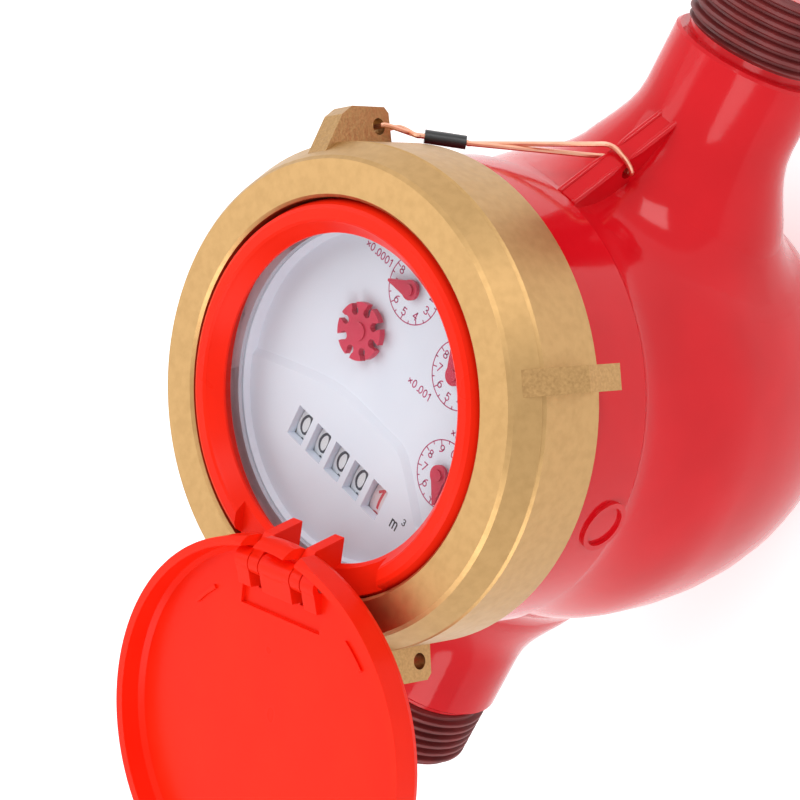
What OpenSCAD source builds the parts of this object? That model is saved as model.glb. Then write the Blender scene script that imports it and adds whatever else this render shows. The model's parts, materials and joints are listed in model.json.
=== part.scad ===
// Multi-jet water meter with a magnetic drive, a sealed pointer-and-roller register,
// a brass cover ring and a hinged plastic lid, which stands open.
// +Z is up out of the dial, +X runs along the pipe to the outlet, and the foot stands on Z = 0.

/* [Body casting] */
// Length between the two threaded ends
body_length = 165; // [155:1:190]
// Height of the pipe axis above the foot
pipe_height = 41; // [39:0.5:45]
// Largest radius of the bowl
bowl_r = 42.5; // [41:0.5:46]
// Radius of the flat foot
foot_r = 22; // [18:0.5:26]
// Wall of the bowl
bowl_wall = 6; // [4.5:0.5:7]
// Height of the collar below the cover ring
collar_height = 13.6; // [11:0.2:15]
// How far the collar stands out past the neck thread
collar_step = 2.3; // [1.5:0.1:3]
// Wall of the threaded neck
neck_wall = 6.3; // [5:0.1:8]
// Radius of the cast round mark on the collar
mark_r = 4.6; // [3:0.1:5.5]

/* [Pipe ends] */
// Outer radius of the pipe thread
thread_r = 13.22; // [12.8:0.02:14]
// Length of each pipe thread
thread_length = 12.5; // [10:0.5:16]
// Radius of the plain pipe behind the thread
stub_r = 14; // [13.6:0.1:16]
// Radius of the pipe where it grows out of the bowl
stub_root_r = 21.5; // [18:0.5:24]
// Radius of each port
port_r = 9; // [8.2:0.1:9.8]
// Depth of each port
port_depth = 20; // [16:0.5:24]
// Radius of the flow passage behind the port
passage_r = 7.3; // [6:0.1:7.5]

/* [Seal web] */
// Thickness of the cast web that takes the seal wire
web_thickness = 4; // [3:0.2:6]
// Height of the web above the pipe where it meets the bowl
web_rise = 30; // [26:0.5:32]
// Radius of the hole in the web
web_hole_r = 1.3; // [1:0.1:1.6]

/* [Window] */
// Radius of the clear opening over the dial
window_r = 26.5; // [25:0.5:30]
// Thickness of the glass
glass_thickness = 4; // [3:0.2:6]
// Thickness of the bezel lip over the glass
lip_thickness = 3.2; // [2.6:0.1:4.5]
// Depth from the dial face to the top of the neck
dial_depth = 1; // [0.8:0.1:3]

/* [Cover ring] */
// Height of the cover ring
ring_height = 19; // [17:0.5:22]
// Thickness of the flange that holds the bezel down
ring_flange = 4.5; // [3.5:0.1:6]
// Wall of the ring outside its thread
ring_wall = 3.65; // [3:0.05:5]
// Height of the tapered front band
taper_height = 4.8; // [3:0.1:6.5]
// How far the tapered band draws in at the front
taper_in = 2.3; // [1:0.1:3]
// How far the lugs stand out of the ring
lug_reach = 6; // [5:0.1:8]
// Thickness of the lugs
lug_thickness = 4.2; // [3:0.1:6]
// Radius of the seal hole in two of the lugs
lug_hole_r = 1.4; // [1.1:0.1:1.6]

/* [Lid] */
// Wall of the lid
lid_wall = 1.8; // [1.4:0.1:2.2]
// Height of the lid's skirt under its top wall
skirt_height = 4.2; // [3.8:0.1:5.5]
// Angle that the open lid stands at, from closed
open_angle = 182.5; // [170:0.5:184]
// Direction of the hinge seen from the dial's centre
hinge_angle = 202; // [150:1:215]
// Radius of the hinge pin
hinge_pin_r = 0.9; // [0.7:0.05:1.1]
// Radius of the knuckles around the pin
knuckle_r = 2.1; // [1.8:0.1:2.3]
// Thickness of the two hinge ears on the bezel
ear_thickness = 2.2; // [1.6:0.1:3]
// Distance of each ear's middle from the hinge's middle
ear_offset = 5; // [4.4:0.1:6]

/* [Register] */
// Gear module of the train
train_module = 0.4; // [0.37:0.005:0.41]
// Thickness of each gear
gear_thickness = 1.2; // [0.8:0.1:1.4]
// Height of one gear level
level_height = 1.7; // [1.5:0.05:1.9]
// Radius of the arbors
arbor_r = 0.7; // [0.5:0.05:0.8]
// Height of the gear space under the dial
gear_space = 18.1; // [17.8:0.1:21]
// Thickness of the dial
dial_thickness = 1.2; // [1:0.1:2]
// Tip radius of the star wheel
star_r = 4.9; // [4:0.1:6.4]
// Length of each pointer
pointer_length = 5; // [4:0.1:5.5]

/* [Counter] */
// Radius of the number rollers
roller_r = 7.4; // [7:0.1:7.6]
// Width of the printed drum of each roller
drum_width = 3.4; // [3:0.1:3.6]
// Distance from roller to roller
roller_pitch = 5.2; // [5.1:0.02:5.6]
// Distance of the roller axis from the dial's centre
counter_offset = 13.05; // [12.4:0.05:13.6]

/* [Measuring chamber] */
// Outer radius of the chamber
chamber_r = 23.7; // [22:0.1:24.5]
// Wall of the chamber
chamber_wall = 2; // [1.5:0.1:2.5]
// Height from the chamber's seat to the seat of the pressure plate
upper_height = 21.4; // [20.6:0.2:26]
// Number of impeller blades
blade_count = 8; // [6:1:10]
// Thickness of the pressure plate
plate_thickness = 4; // [3:0.2:6]

/* [Seal] */
// Radius of the seal wire
wire_r = 0.45; // [0.3:0.05:0.5]
// Length of the crimped seal
seal_length = 7; // [5:0.5:9]

/* [Fits] */
// Radial clearance of turning pins
run_clearance = 0.08; // [0.05:0.01:0.1]
// Clearance between pieces that are set into each other
set_clearance = 0.3; // [0.2:0.05:0.4]

/* [Hidden] */
$fn = 96;
cut = 1; // how far a cutting solid runs past the face it cuts
counter_lines = 5;
star_angle = 34;
first_pointer_angle = 2;
lug_angles = [39, 129, 219, 309];
sealed_lugs = [39, 219];
pillar_angles = [70, 125, 238, 338];
pointer_turns = [104, 35, 200];
mark_angle = -87;

// Teeth of the train, from the magnet to the counter
magnet_teeth = 12;
star_teeth = 42;
pinion_teeth = 10;
idler_teeth = 30;
idler_pinion_teeth = 12;
pointer_teeth = 40;
counter_teeth = 26;
roller_teeth = 20;
transfer_teeth = 8;
worm_teeth = 10;

// Radii from the window outwards
glass_r = window_r + 3.5;
dial_r = glass_r - 0.1;
cup_inner_r = dial_r + 0.2;
cup_outer_r = cup_inner_r + 1.5;
neck_bore_r = cup_outer_r + set_clearance;
neck_r = neck_bore_r + neck_wall;
throat_r = neck_bore_r - 3.4;
collar_r = neck_r + collar_step;
waist_r = collar_r - 1.9;
cavity_r = bowl_r - bowl_wall;
ring_bore_r = neck_r + set_clearance/2;
ring_r = ring_bore_r + ring_wall;
ring_open_r = window_r + 6.4;
lip_r = window_r + 0.6;
lip_flare = 1.9;
bezel_r = ring_open_r - set_clearance;
bezel_flange_r = ring_open_r + 3.7;
lid_r = ring_open_r + 1.1;
hinge_r = window_r + 2.3;

// Heights from the foot up
floor_z = 7;
shelf_z = pipe_height + 1;
shelf_thickness = 3;
cover_z = shelf_z + 2;
cover_top_z = cover_z + 10;
plate_seat_z = shelf_z + upper_height;
plate_z = plate_seat_z + 1;
cup_z = plate_z + plate_thickness + 0.2;
cup_floor_z = cup_z + 1.2;
gear_plate_z = cup_floor_z + 6.2;
gear_floor_z = gear_plate_z + 1.2;
dial_under_z = gear_floor_z + gear_space;
dial_z = dial_under_z + dial_thickness;
neck_top_z = dial_z + dial_depth;
gasket_z = neck_top_z + 1.1;
glass_z = gasket_z + 0.8;
lip_z = glass_z + glass_thickness;
rim_z = lip_z + lip_thickness;
bezel_flange_z = glass_z + 2.1;
ring_front_z = bezel_flange_z + ring_flange;
ring_rear_z = ring_front_z - ring_height;
collar_top_z = ring_rear_z - 0.4;
collar_low_z = collar_top_z - collar_height;
bowl_mid_z = pipe_height + 4;

// Measuring chamber
chamber_floor_z = shelf_z - 28;
chamber_inner_r = chamber_r - chamber_wall;
impeller_r = chamber_inner_r - 2.2;
hub_r = 3.5;
hub_low_z = chamber_floor_z + 5;
pivot_r = 1.2;
shaft_r = 1.5;
magnet_z = cover_top_z + 1.5;
magnet_height = 6;
magnet_r = 7.5;
blade_thickness = 1;
jet_width = 2.4;
jet_height = 6;
chamber_floor = 2.5;
chamber_flange_r = throat_r - set_clearance;
pivot_height = 9;
pivot_top_z = chamber_floor_z + pivot_height + pivot_r;
cup_ledge = 1.9;
pillar_r = 1.5;
pillar_ring_r = dial_r - 2.6;
post_r = 0.65;
star_lift = 0.7;
star_thickness = 1.2;
pointer_lift = 0.6;
pointer_thickness = 0.7;

// Flow passages
port_end = body_length/2 - port_depth;
seat_depth = 4;
seat_step = 0.8;
seat_end = port_end - seat_depth;
passage_end = bowl_r + 4;
slant_angle = 35;
slant_r = passage_r - 1.3;
strainer_r = passage_r - set_clearance;
strainer_wall = 1;
strainer_end = passage_end + 1.5;
strainer_length = seat_end - strainer_end;

// Gear train centres on the dial
function centres(a, b) = train_module*(a + b)/2;
function polar(r, angle) = r*[cos(angle), sin(angle)];
function bearing(from, to) = atan2(to.y - from.y, to.x - from.x);
// The point at distance ra from a and rb from b, left of the line a to b for side 1
function meet(a, b, ra, rb, side) =
    let (d = norm(b - a), along = (ra*ra - rb*rb + d*d)/(2*d), off = sqrt(ra*ra - along*along))
    a + along*(b - a)/d + side*off*[-(b - a).y, (b - a).x]/d;

idler_gap = centres(pinion_teeth, idler_teeth);
pointer_gap = centres(idler_pinion_teeth, pointer_teeth);
pointer_wheel_r = train_module*(pointer_teeth/2 + 0.8);
pointer_ring_r = dial_r - pointer_wheel_r - 0.8;
pointer_step = 2*asin(0.9*(idler_gap + pointer_gap)/(2*pointer_ring_r));
star_at = polar(centres(magnet_teeth, star_teeth), star_angle);
pointer_at = [for (i = [0:2]) polar(pointer_ring_r, first_pointer_angle - i*pointer_step)];
idler_at = [meet(star_at, pointer_at[0], idler_gap, pointer_gap, 1),
            meet(pointer_at[0], pointer_at[1], idler_gap, pointer_gap, -1),
            meet(pointer_at[1], pointer_at[2], idler_gap, pointer_gap, 1)];
// The gear that each idler takes its drive from, and the pointer that it drives
idler_from = [star_at, pointer_at[0], pointer_at[1]];
// Levels of each idler's wheel and pinion: the middle idler stands on the gear plate,
// and the two others hang from the dial, so that each clears the big wheel beside it
idler_pinion_level = [3, 1, 3];
function level_z(level) = gear_floor_z + 0.7 + (level - 1)*level_height;

// Counter
roller_sink = 0.7;
roller_z = dial_z - roller_sink - roller_r;
counter_mid_y = -0.75;
roller_at_y = [for (i = [0:counter_lines - 1]) counter_mid_y + ((counter_lines - 1)/2 - i)*roller_pitch];
flange_width = (roller_pitch - drum_width - 0.34)/2;
shaft_pin_r = 0.75;
pinion_pin_r = 0.5;
roller_module = 2*(roller_r + pinion_pin_r + 0.18)/(roller_teeth + transfer_teeth);
pinion_gap = roller_module*(roller_teeth + transfer_teeth)/2;
pinion_angle = 225;
pinion_at = [-counter_offset + pinion_gap*cos(pinion_angle), roller_z + pinion_gap*sin(pinion_angle)];
worm_module = 0.6;
worm_r = 1.6;
worm_throw = 0.5;
worm_gap = worm_module*worm_teeth/2 + worm_r + 0.3;
worm_wheel_width = 2;
worm_y = roller_at_y[counter_lines - 1] - drum_width/2 - worm_r - worm_throw - 0.45;
worm_at = [-counter_offset + worm_gap, worm_y];
counter_module = norm(worm_at - pointer_at[2])/counter_teeth;
frame_left_y = roller_at_y[0] + drum_width/2 + flange_width + set_clearance;
frame_right_y = worm_y - worm_wheel_width/2 - 0.8;
frame_wall = 1.2;
frame_rear_x = -counter_offset - roller_r - 1.6;
frame_front_x = -counter_offset + worm_gap - worm_r - worm_throw - 0.6;
frame_low_z = pinion_at[1] - roller_module*(transfer_teeth/2 + 0.8) - 0.4;
slot_half = 2.9;
field_rise = 0.7;
field_slope = 1.6;

// Hinge, in the lid's closed place, with the hinge along the local Y axis
hinge_z = ring_front_z + 4.85;
lid_low_z = hinge_z - 3.85;
lid_inner_z = lid_low_z + skirt_height;
lid_top_z = lid_inner_z + lid_wall;
heel_r = 5.2;
hinge_half = ear_offset + ear_thickness/2 + 3.3;
notch_half = 17;
notch_z = hinge_z - 6.05;
block_reach = 4.6;

// Seal wire, from the hole of one lug to the hole of the web
thread_start = body_length/2 - thread_length;
web_out = max(bowl_r, ring_r);
web_top = [web_out - 3, pipe_height + web_rise];
web_end = [web_out + 12.5, pipe_height + stub_r];
web_slope = (web_end - web_top)/norm(web_end - web_top);
web_normal = [-web_slope.y, web_slope.x];
web_hole = web_top + 11.4*web_slope - 2.6*web_normal;
lug_hole_out = ring_r + 2.7;
lug_hole_z = ring_front_z - 15;
lug_tangent = [-sin(sealed_lugs[0]), cos(sealed_lugs[0]), 0];
lug_point = [lug_hole_out*cos(sealed_lugs[0]), lug_hole_out*sin(sealed_lugs[0]), lug_hole_z];
web_point = [web_hole.x, 0, web_hole.y];
edge_out = [web_normal.x, 0, web_normal.y];
wire_way = (web_point - lug_point)/norm(web_point - lug_point);
seal_point = lug_point + 0.3*(web_point - lug_point);
seal_out = [seal_point.x, seal_point.y, 0]/norm([seal_point.x, seal_point.y]);
seal_cross = cross(wire_way, seal_out)/norm(cross(wire_way, seal_out));
seal_face = cross(seal_cross, wire_way);
strand = 0.8*seal_cross;
seal_end = seal_length/2;

red_paint = [0.72, 0.07, 0.10];
red_plastic = [0.93, 0.13, 0.08];
brass = [0.80, 0.65, 0.38];
steel = [0.70, 0.70, 0.72];
white_plastic = [0.90, 0.91, 0.95];
crimson = [0.82, 0.16, 0.28];
pale_pink = [0.90, 0.76, 0.78];
black_rubber = [0.10, 0.10, 0.11];
pale_rubber = [0.72, 0.72, 0.78];
dark_magnet = [0.22, 0.22, 0.24];
copper = [0.80, 0.50, 0.38];

// Shared shapes

// A curve of n steps from a to b that leaves and arrives along the second axis
function ease(a, b, n) = [for (i = [0:n]) let (t = i/n)
    [a.x + (b.x - a.x)*(1 - cos(180*t))/2, a.y + (b.y - a.y)*t]];
// A quarter ellipse from a to b that leaves along the first axis and arrives along the second
function quarter(a, b, n) = [for (i = [0:n]) let (t = 90*i/n)
    [a.x + (b.x - a.x)*sin(t), a.y + (b.y - a.y)*(1 - cos(t))]];

function unit(v) = v/norm(v);
function knot(list, i) = list[max(0, min(len(list) - 1, i))];
// A smooth curve through the points, with n steps between each two
function curve(list, n) = concat(
    [for (i = [0:len(list) - 2], k = [0:n - 1])
        let (t = k/n, a = knot(list, i - 1), b = list[i], c = list[i + 1], d = knot(list, i + 2))
        (2*b + (c - a)*t + (2*a - 5*b + 4*c - d)*t*t + (3*b - 3*c + d - a)*t*t*t)/2],
    [list[len(list) - 1]]);

module tube(outer, inner, height) {
    difference() {
        cylinder(r = outer, h = height);
        translate([0, 0, -cut])
            cylinder(r = inner, h = height + 2*cut);
    }
}

// A cylinder along the Y axis, centred
module rod_y(r, length) {
    rotate([90, 0, 0])
        cylinder(r = r, h = length, center = true);
}

// A plate in the XZ plane, which runs from y down by thickness
module plate_y(y, thickness) {
    translate([0, y, 0])
        rotate([90, 0, 0])
            linear_extrude(thickness)
                children();
}

// Straight-flanked teeth with wide backlash, one tooth along the X axis
module gear_outline(teeth, module_size, kept = 1) {
    pitch = 360/teeth;
    root = module_size*(teeth/2 - 1.15);
    tip = module_size*(teeth/2 + 0.8);
    polygon([for (i = [0:teeth - 1]) each (i % kept == 0
        ? [polar(root, (i - 0.3)*pitch), polar(tip, (i - 0.12)*pitch),
           polar(tip, (i + 0.12)*pitch), polar(root, (i + 0.3)*pitch)]
        : [polar(root, (i - 0.3)*pitch), polar(root, (i + 0.3)*pitch)])]);
}

// A gear on a level of the train, with a tooth turned to the bearing
module train_gear(teeth, level, to, module_size = train_module) {
    translate([0, 0, level_z(level)])
        linear_extrude(gear_thickness)
            rotate(to)
                gear_outline(teeth, module_size);
}

// As train_gear, with a gap turned to the bearing
module driven_gear(teeth, level, to, module_size = train_module) {
    train_gear(teeth, level, to + 180/teeth, module_size);
}

module arbor(low_z, high_z) {
    translate([0, 0, low_z])
        cylinder(r = arbor_r, h = high_z - low_z);
}

// Casting

body_outline = concat(
    [[0, 0]],
    quarter([foot_r, 0], [bowl_r, bowl_mid_z], 10),
    ease([bowl_r, bowl_mid_z + 2], [waist_r, collar_low_z - 2.5], 8),
    [[waist_r + 0.5, collar_low_z - 1], [collar_r - 0.6, collar_low_z], [collar_r, collar_low_z + 0.8],
     [collar_r, collar_top_z - 0.6], [collar_r - 0.6, collar_top_z], [neck_r, collar_top_z],
     [neck_r, neck_top_z - 0.6], [neck_r - 0.6, neck_top_z], [0, neck_top_z]]);

body_hollow = concat(
    [[0, floor_z]],
    quarter([foot_r - 2, floor_z], [cavity_r, shelf_z - 14], 8),
    [[cavity_r, shelf_z - shelf_thickness], [chamber_r + set_clearance, shelf_z - shelf_thickness],
     [chamber_r + set_clearance, shelf_z], [cavity_r, shelf_z], [cavity_r, shelf_z + 14],
     [throat_r, plate_seat_z - 4], [throat_r, plate_seat_z], [neck_bore_r, plate_seat_z],
     [neck_bore_r, neck_top_z + cut], [0, neck_top_z + cut]]);

stub_outline = concat(
    [[0, 20], [stub_root_r, 20]],
    ease([stub_root_r, bowl_r - 8], [stub_r, bowl_r + 14], 8),
    [[stub_r, thread_start - 2], [stub_r - 0.5, thread_start - 1.5], [thread_r - 1.2, thread_start - 1.5],
     [thread_r - 1.2, thread_start], [thread_r, thread_start], [thread_r, body_length/2 - 1],
     [thread_r - 1, body_length/2], [0, body_length/2]]);

// Everything on one pipe end is drawn along +Z and turned to its side
module on_pipe(side) {
    translate([0, 0, pipe_height])
        rotate([0, 90*side, 0])
            children();
}

module pipe_hollow(side) {
    on_pipe(side) {
        translate([0, 0, port_end])
            cylinder(r = port_r, h = port_depth + cut);
        translate([0, 0, seat_end])
            cylinder(r = passage_r + seat_step, h = seat_depth + cut);
        translate([0, 0, passage_end])
            cylinder(r = passage_r, h = seat_end - passage_end + cut);
    }
    // The inlet slants down under the shelf, the outlet up over it
    translate([side*(passage_end + 3), 0, pipe_height + 1.5*side])
        rotate([0, slant_angle - 90*side, 0])
            cylinder(r = slant_r, h = (passage_end - cavity_r + 6)/cos(slant_angle));
}

module seal_web() {
    plate_y(web_thickness/2, web_thickness)
        polygon([[cavity_r + 2, pipe_height + stub_r/2], [cavity_r + 2, web_top.y], web_top, web_end,
                 [web_end.x, pipe_height + stub_r/2]]);
}

module cast_mark() {
    rotate([0, 0, mark_angle])
        translate([collar_r - 1.5, 0, collar_low_z + mark_r + 0.3])
            rotate([0, 90, 0])
                tube(mark_r, mark_r - 0.9, 2);
}

module body() {
    color(red_paint)
        difference() {
            union() {
                rotate_extrude()
                    polygon(body_outline);
                for (side = [-1, 1])
                    on_pipe(side)
                        rotate_extrude()
                            polygon(stub_outline);
                seal_web();
                cast_mark();
            }
            rotate_extrude()
                polygon(body_hollow);
            for (side = [-1, 1])
                pipe_hollow(side);
            translate(web_point)
                rod_y(web_hole_r, web_thickness + 2*cut);
        }
}

// Wet side

module inlet_strainer() {
    slots = 10;
    slot_width = 1.6;
    slot_length = strainer_length - 5;
    color(white_plastic)
        on_pipe(-1)
            difference() {
                union() {
                    translate([0, 0, seat_end])
                        tube(passage_r + seat_step - set_clearance, strainer_r - strainer_wall, 2);
                    translate([0, 0, strainer_end])
                        cylinder(r = strainer_r, h = strainer_length);
                }
                translate([0, 0, strainer_end + strainer_wall])
                    cylinder(r = strainer_r - strainer_wall, h = strainer_length + 2*cut);
                for (i = [0:slots - 1])
                    rotate([0, 0, i*360/slots])
                        translate([strainer_r - 2*strainer_wall, -slot_width/2, strainer_end + 2.5])
                            cube([3*strainer_wall, slot_width, slot_length]);
                for (i = [0:5])
                    rotate([0, 0, i*60])
                        translate([strainer_r*0.55, 0, strainer_end - cut])
                            cylinder(r = slot_width*0.7, h = strainer_wall + 2*cut);
            }
}

module measuring_chamber() {
    slot_count = 8;
    color(white_plastic)
        difference() {
            rotate_extrude()
                polygon([[0, chamber_floor_z], [chamber_r - 1, chamber_floor_z],
                         [chamber_r, chamber_floor_z + 1], [chamber_r, shelf_z],
                         [chamber_flange_r, shelf_z], [chamber_flange_r, cover_z],
                         [chamber_inner_r, cover_z], [chamber_inner_r, chamber_floor_z + chamber_floor],
                         [0, chamber_floor_z + chamber_floor]]);
            translate([0, 0, chamber_floor_z - cut])
                cylinder(r = pivot_r, h = chamber_floor + 2*cut);
            // Jets that turn the flow against the blades
            for (i = [0:slot_count - 1])
                rotate([0, 0, i*360/slot_count])
                    translate([chamber_inner_r*0.8, chamber_inner_r*0.42, hub_low_z + 3])
                        cube([chamber_r, jet_width, jet_height]);
        }
}

module pivot_pin() {
    color(steel)
        translate([0, 0, chamber_floor_z]) {
            cylinder(r = pivot_r, h = pivot_height);
            translate([0, 0, pivot_height])
                cylinder(r1 = pivot_r, r2 = pivot_r/3, h = pivot_r);
        }
}

module chamber_cover() {
    slot_count = 8;
    color(white_plastic)
        difference() {
            rotate_extrude()
                polygon([[shaft_r + run_clearance, cover_top_z - 4], [shaft_r + run_clearance, cover_top_z],
                         [chamber_r - 2, cover_top_z], [chamber_r, cover_top_z - 2], [chamber_r, cover_z + 2],
                         [chamber_flange_r, cover_z + 2], [chamber_flange_r, cover_z],
                         [chamber_inner_r, cover_z], [chamber_inner_r, cover_top_z - 2],
                         [hub_r + 1, cover_top_z - 2], [hub_r, cover_top_z - 4]]);
            for (i = [0:slot_count - 1])
                rotate([0, 0, (i + 0.5)*360/slot_count])
                    translate([chamber_inner_r*0.8, chamber_inner_r*0.3, cover_z + 3])
                        cube([chamber_r, jet_width, cover_top_z - cover_z - 5.5]);
        }
}

module impeller() {
    color(white_plastic)
        difference() {
            union() {
                translate([0, 0, hub_low_z])
                    cylinder(r = hub_r, h = cover_z - hub_low_z);
                translate([0, 0, cover_z - cut])
                    cylinder(r = shaft_r, h = magnet_z + magnet_height - cover_z + cut);
                for (i = [0:blade_count - 1])
                    rotate([0, 0, i*360/blade_count])
                        translate([hub_r - 1, -blade_thickness/2, hub_low_z + 1.5])
                            cube([impeller_r - hub_r + 1, blade_thickness, cover_z - hub_low_z - 4]);
            }
            translate([0, 0, hub_low_z - cut])
                cylinder(r = pivot_r + run_clearance, h = pivot_top_z - hub_low_z + cut + 0.1);
        }
}

module drive_magnet() {
    color(dark_magnet)
        translate([0, 0, magnet_z])
            tube(magnet_r, shaft_r, magnet_height);
}

module plate_gasket() {
    color(black_rubber)
        translate([0, 0, plate_seat_z])
            tube(neck_bore_r - set_clearance, throat_r + set_clearance, plate_z - plate_seat_z);
}

module pressure_plate() {
    color(brass)
        rotate_extrude()
            polygon([[0, plate_z + plate_thickness*0.4], [magnet_r + 1.5, plate_z + plate_thickness*0.4],
                     [magnet_r + 2.5, plate_z], [neck_bore_r - set_clearance, plate_z],
                     [neck_bore_r - set_clearance, plate_z + plate_thickness],
                     [0, plate_z + plate_thickness]]);
}

// Register

module register_cup() {
    flange_r = bezel_flange_r + 0.2;
    color(white_plastic)
        rotate_extrude()
            polygon([[0, cup_z], [cup_outer_r - 1, cup_z], [cup_outer_r, cup_z + 1],
                     [cup_outer_r, neck_top_z], [flange_r, neck_top_z],
                     [flange_r, gasket_z], [cup_inner_r, gasket_z],
                     [cup_inner_r, gear_plate_z], [cup_inner_r - cup_ledge, gear_plate_z],
                     [cup_inner_r - cup_ledge, cup_floor_z], [0, cup_floor_z]]);
}

module gear_plate() {
    bearing_at = concat([[0, 0]], [star_at], pointer_at, [worm_at]);
    color(brass)
        difference() {
            union() {
                translate([0, 0, gear_plate_z])
                    cylinder(r = dial_r, h = gear_floor_z - gear_plate_z);
                for (angle = pillar_angles)
                    translate([pillar_ring_r*cos(angle), pillar_ring_r*sin(angle), gear_plate_z])
                        cylinder(r = pillar_r, h = dial_under_z - gear_plate_z);
                // Post of the middle idler
                translate([idler_at[1].x, idler_at[1].y, gear_plate_z])
                    cylinder(r = post_r, h = level_z(2) + gear_thickness + 0.2 - gear_plate_z);
            }
            for (at = bearing_at)
                translate([at.x, at.y, gear_plate_z - cut])
                    cylinder(r = arbor_r + run_clearance, h = gear_floor_z - gear_plate_z + 2*cut);
        }
}

module follower_magnet() {
    color(dark_magnet)
        translate([0, 0, cup_floor_z + 0.8])
            tube(magnet_r - 0.5, arbor_r, gear_plate_z - cup_floor_z - 1.6);
}

module magnet_arbor() {
    color(steel) {
        arbor(cup_floor_z + 0.2, level_z(1) + gear_thickness + 0.2);
        train_gear(magnet_teeth, 1, star_angle);
    }
}

// A shoulder that carries an arbor on the gear plate, up to its lowest gear
module shoulder(level) {
    translate([0, 0, gear_floor_z + 0.15])
        cylinder(r = arbor_r + 0.5, h = level_z(level) - gear_floor_z);
}

module star_arbor() {
    color(white_plastic)
        translate([star_at.x, star_at.y, 0]) {
            arbor(gear_plate_z + 0.1, dial_z + star_lift + star_thickness);
            shoulder(1);
            driven_gear(star_teeth, 1, star_angle + 180);
            train_gear(pinion_teeth, 2, bearing(star_at, idler_at[0]));
        }
}

module star_wheel() {
    lobes = 8;
    notch_r = star_r*0.155;
    color(crimson)
        translate([star_at.x, star_at.y, dial_z + star_lift])
            difference() {
                union() {
                    linear_extrude(star_thickness)
                        difference() {
                            circle(r = star_r);
                            for (i = [0:lobes - 1])
                                rotate(i*360/lobes) {
                                    translate([star_r*0.72, 0])
                                        circle(r = notch_r);
                                    translate([star_r*0.72, -notch_r*0.75])
                                        square([star_r, notch_r*1.5]);
                                }
                        }
                    cylinder(r = star_r*0.32, h = star_thickness + 0.35);
                }
                translate([0, 0, -cut])
                    cylinder(r = arbor_r, h = star_thickness + cut);
            }
}

module idler(i) {
    low = i == 1 ? gear_floor_z + 0.2 : level_z(2);
    high = i == 1 ? level_z(2) + gear_thickness : dial_under_z - 0.3;
    color(white_plastic)
        translate([idler_at[i].x, idler_at[i].y, 0])
            difference() {
                union() {
                    driven_gear(idler_teeth, 2, bearing(idler_at[i], idler_from[i]));
                    train_gear(idler_pinion_teeth, idler_pinion_level[i],
                               bearing(idler_at[i], pointer_at[i]));
                    translate([0, 0, low])
                        cylinder(r = post_r + 0.7, h = high - low);
                }
                translate([0, 0, low - cut])
                    cylinder(r = post_r + run_clearance, h = high - low + 2*cut);
            }
}

module pointer_arbor(i) {
    pinion_level = 2;
    wheel_level = idler_pinion_level[i];
    color(white_plastic)
        translate([pointer_at[i].x, pointer_at[i].y, 0]) {
            arbor(gear_plate_z + 0.1, dial_z + pointer_lift + pointer_thickness);
            shoulder(i == 1 || i == 2 ? 1 : 2);
            driven_gear(pointer_teeth, wheel_level, bearing(pointer_at[i], idler_at[i]));
            if (i < 2)
                train_gear(pinion_teeth, pinion_level, bearing(pointer_at[i], idler_at[i + 1]));
            else
                train_gear(counter_teeth, 1, bearing(pointer_at[i], worm_at), counter_module);
        }
}

module pointer(i) {
    boss_r = pointer_length*0.34;
    color(crimson)
        translate([pointer_at[i].x, pointer_at[i].y, dial_z + pointer_lift])
            rotate(pointer_turns[i])
                difference() {
                    union() {
                        linear_extrude(pointer_thickness)
                            polygon([[0, boss_r], [boss_r*0.7, boss_r*0.72], [pointer_length, 0.2],
                                     [pointer_length, -0.2], [boss_r*0.7, -boss_r*0.72], [0, -boss_r]]);
                        cylinder(r = boss_r, h = pointer_thickness);
                        cylinder(r = boss_r*0.55, h = pointer_thickness + 0.4);
                    }
                    translate([0, 0, -cut])
                        cylinder(r = arbor_r, h = pointer_thickness + cut);
                }
}

module counter_arbor() {
    worm_lead = PI*worm_module;
    worm_half = 3;
    color(white_plastic)
        translate([worm_at.x, worm_at.y, 0]) {
            arbor(gear_plate_z + 0.1, dial_under_z - 0.4);
            shoulder(1);
            driven_gear(counter_teeth, 1, bearing(worm_at, pointer_at[2]), counter_module);
            // Single-start worm, with a crest turned to the roller's wheel at the roller's height
            translate([0, 0, roller_z - worm_half])
                rotate(180 - 360*worm_half/worm_lead)
                    linear_extrude(2*worm_half, twist = -720*worm_half/worm_lead, slices = 44, $fn = 18)
                        translate([worm_throw, 0])
                            circle(r = worm_r);
        }
}

// Counter

module counter_frame() {
    depth = frame_front_x - frame_rear_x;
    length = frame_left_y - frame_right_y;
    color(brass)
        difference() {
            translate([frame_rear_x - frame_wall, frame_right_y - frame_wall, frame_low_z])
                cube([depth + frame_wall, length + 2*frame_wall, dial_under_z - frame_low_z]);
            translate([frame_rear_x, frame_right_y, frame_low_z - cut])
                cube([depth + cut, length, dial_under_z - frame_low_z + 2*cut]);
            translate([-counter_offset, 0, roller_z])
                rod_y(shaft_pin_r, 4*counter_lines*roller_pitch);
            translate([pinion_at[0], 0, pinion_at[1]])
                rod_y(pinion_pin_r, 4*counter_lines*roller_pitch);
        }
}

// A pin between the two cheeks of the counter frame
module frame_pin(x, z, r) {
    color(steel)
        translate([x, frame_left_y + frame_wall, z])
            rotate([90, 0, 0])
                cylinder(r = r, h = frame_left_y - frame_right_y + 2*frame_wall);
}

module roller_shaft() {
    frame_pin(-counter_offset, roller_z, shaft_pin_r);
}

module pinion_shaft() {
    frame_pin(pinion_at[0], pinion_at[1], pinion_pin_r);
}

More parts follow.
